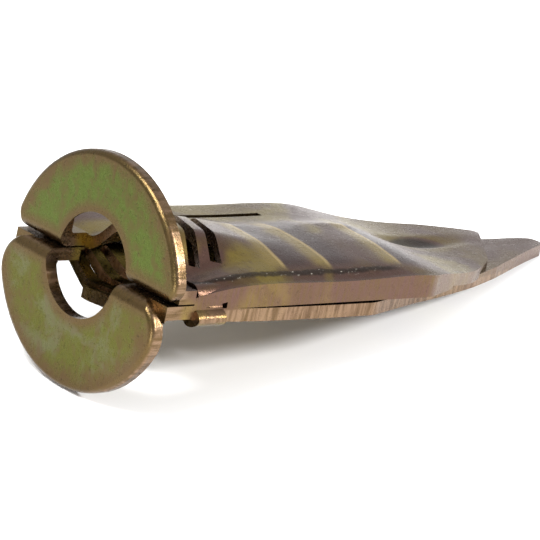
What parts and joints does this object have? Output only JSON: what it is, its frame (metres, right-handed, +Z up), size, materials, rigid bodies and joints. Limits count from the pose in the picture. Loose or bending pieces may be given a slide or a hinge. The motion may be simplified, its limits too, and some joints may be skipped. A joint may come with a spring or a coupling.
{
  "type": "drywall anchor",
  "caption": "Hammer-in drywall anchor of folded sheet steel: split round flange with a screw hole, two slotted legs hinged along one edge, and an arrow tip.",
  "frame": {"origin": "on the floor under the middle of the part's box, as it lies on the lower flange and the tip", "axes": "+Z up, +X from the head towards the tip, so the hinge strap is on the -Y side; the body leans 10.1 degrees down towards the tip"},
  "size_m": [0.04, 0.0146, 0.0136],
  "materials": {
    "anchor_sheet": "yellow chromated zinc plate with an iridescent olive, bronze and mauve sheen"
  },
  "bodies": {
    "root": {"anchor_sheet": "anchor_sheet"}
  },
  "joints": []
}
